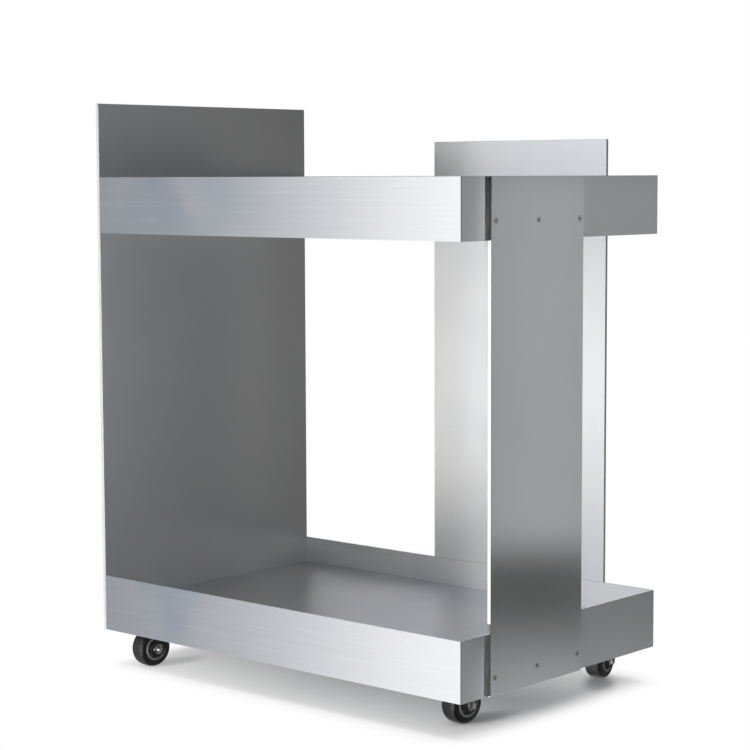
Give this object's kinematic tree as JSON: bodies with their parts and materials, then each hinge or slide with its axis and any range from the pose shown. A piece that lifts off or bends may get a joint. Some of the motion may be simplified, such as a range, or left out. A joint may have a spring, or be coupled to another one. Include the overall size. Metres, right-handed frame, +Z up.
{
  "type": "serving trolley",
  "caption": "Tiered serving trolley in brushed aluminium: rimmed trays joined by flat side, rear and end panels, rolling on swivel castors.",
  "frame": {"origin": "on the ground, under the middle of the trolley's box", "axes": "+X to the right along the trays, +Y to the back, +Z up"},
  "size_m": [0.635, 0.404, 0.7596],
  "materials": {
    "wall_aluminium": "brushed along the tray",
    "pan_aluminium": "brushed along the tray",
    "panel_aluminium": "brushed upright",
    "rail_aluminium": "mill finish",
    "screw_steel": "satin stainless",
    "zinc_steel": "zinc plated",
    "black_steel": "black, semi-gloss",
    "bearing_plastic": "natural acetal",
    "core_plastic": "dark grey, satin",
    "tyre_rubber": "black, smooth"
  },
  "bodies": {
    "trolley": {"lower_front_wall": "wall_aluminium", "lower_back_wall": "wall_aluminium", "lower_end_wall": "wall_aluminium", "lower_pan": "pan_aluminium", "upper_front_wall": "wall_aluminium", "upper_back_wall": "wall_aluminium", "upper_end_wall": "wall_aluminium", "upper_pan": "pan_aluminium", "left_panel": "panel_aluminium", "rear_panel": "panel_aluminium", "right_panel": "panel_aluminium", "left_castor_rail": "rail_aluminium", "right_castor_rail": "rail_aluminium", "panel_screws": "screw_steel", "panel_nuts": "zinc_steel", "castor_bolts": "zinc_steel", "castor_nuts": "zinc_steel", "front_left_plate": "black_steel", "front_left_kingpin": "zinc_steel", "front_right_plate": "black_steel", "front_right_kingpin": "zinc_steel", "rear_left_plate": "black_steel", "rear_left_kingpin": "zinc_steel", "rear_right_plate": "black_steel", "rear_right_kingpin": "zinc_steel"},
    "front_left_swivel": {"front_left_bearing_ring": "bearing_plastic", "front_left_fork": "black_steel", "front_left_axle_bolt": "zinc_steel", "front_left_axle_nut": "zinc_steel", "front_left_axle_sleeve": "zinc_steel"},
    "front_left_wheel": {"front_left_wheel_core": "core_plastic", "front_left_tyre": "tyre_rubber"},
    "front_right_swivel": {"front_right_bearing_ring": "bearing_plastic", "front_right_fork": "black_steel", "front_right_axle_bolt": "zinc_steel", "front_right_axle_nut": "zinc_steel", "front_right_axle_sleeve": "zinc_steel"},
    "front_right_wheel": {"front_right_wheel_core": "core_plastic", "front_right_tyre": "tyre_rubber"},
    "rear_left_swivel": {"rear_left_bearing_ring": "bearing_plastic", "rear_left_fork": "black_steel", "rear_left_axle_bolt": "zinc_steel", "rear_left_axle_nut": "zinc_steel", "rear_left_axle_sleeve": "zinc_steel"},
    "rear_left_wheel": {"rear_left_wheel_core": "core_plastic", "rear_left_tyre": "tyre_rubber"},
    "rear_right_swivel": {"rear_right_bearing_ring": "bearing_plastic", "rear_right_fork": "black_steel", "rear_right_axle_bolt": "zinc_steel", "rear_right_axle_nut": "zinc_steel", "rear_right_axle_sleeve": "zinc_steel"},
    "rear_right_wheel": {"rear_right_wheel_core": "core_plastic", "rear_right_tyre": "tyre_rubber"}
  },
  "joints": [
    {"name": "front_left_swivel_turn", "type": "hinge", "parent": "trolley", "child": "front_left_swivel", "pos_m": [-0.251, -0.151, 0.0556], "axis": [0, 0, 1], "continuous": true},
    {"name": "front_left_wheel_spin", "type": "hinge", "parent": "front_left_swivel", "child": "front_left_wheel", "pos_m": [-0.25405, -0.17329, 0.025], "axis": [0.9907, -0.1357, 0], "continuous": true},
    {"name": "front_right_swivel_turn", "type": "hinge", "parent": "trolley", "child": "front_right_swivel", "pos_m": [0.251, -0.151, 0.0556], "axis": [0, 0, 1], "continuous": true},
    {"name": "front_right_wheel_spin", "type": "hinge", "parent": "front_right_swivel", "child": "front_right_wheel", "pos_m": [0.25362, -0.12865, 0.025], "axis": [-0.9932, 0.1167, 0], "continuous": true},
    {"name": "rear_left_swivel_turn", "type": "hinge", "parent": "trolley", "child": "rear_left_swivel", "pos_m": [-0.251, 0.147, 0.0556], "axis": [0, 0, 1], "continuous": true},
    {"name": "rear_left_wheel_spin", "type": "hinge", "parent": "rear_left_swivel", "child": "rear_left_wheel", "pos_m": [-0.24865, 0.16938, 0.025], "axis": [-0.9945, 0.1045, 0], "continuous": true},
    {"name": "rear_right_swivel_turn", "type": "hinge", "parent": "trolley", "child": "rear_right_swivel", "pos_m": [0.251, 0.147, 0.0556], "axis": [0, 0, 1], "continuous": true},
    {"name": "rear_right_wheel_spin", "type": "hinge", "parent": "rear_right_swivel", "child": "rear_right_wheel", "pos_m": [0.24667, 0.16908, 0.025], "axis": [-0.9813, -0.1925, 0], "continuous": true}
  ]
}
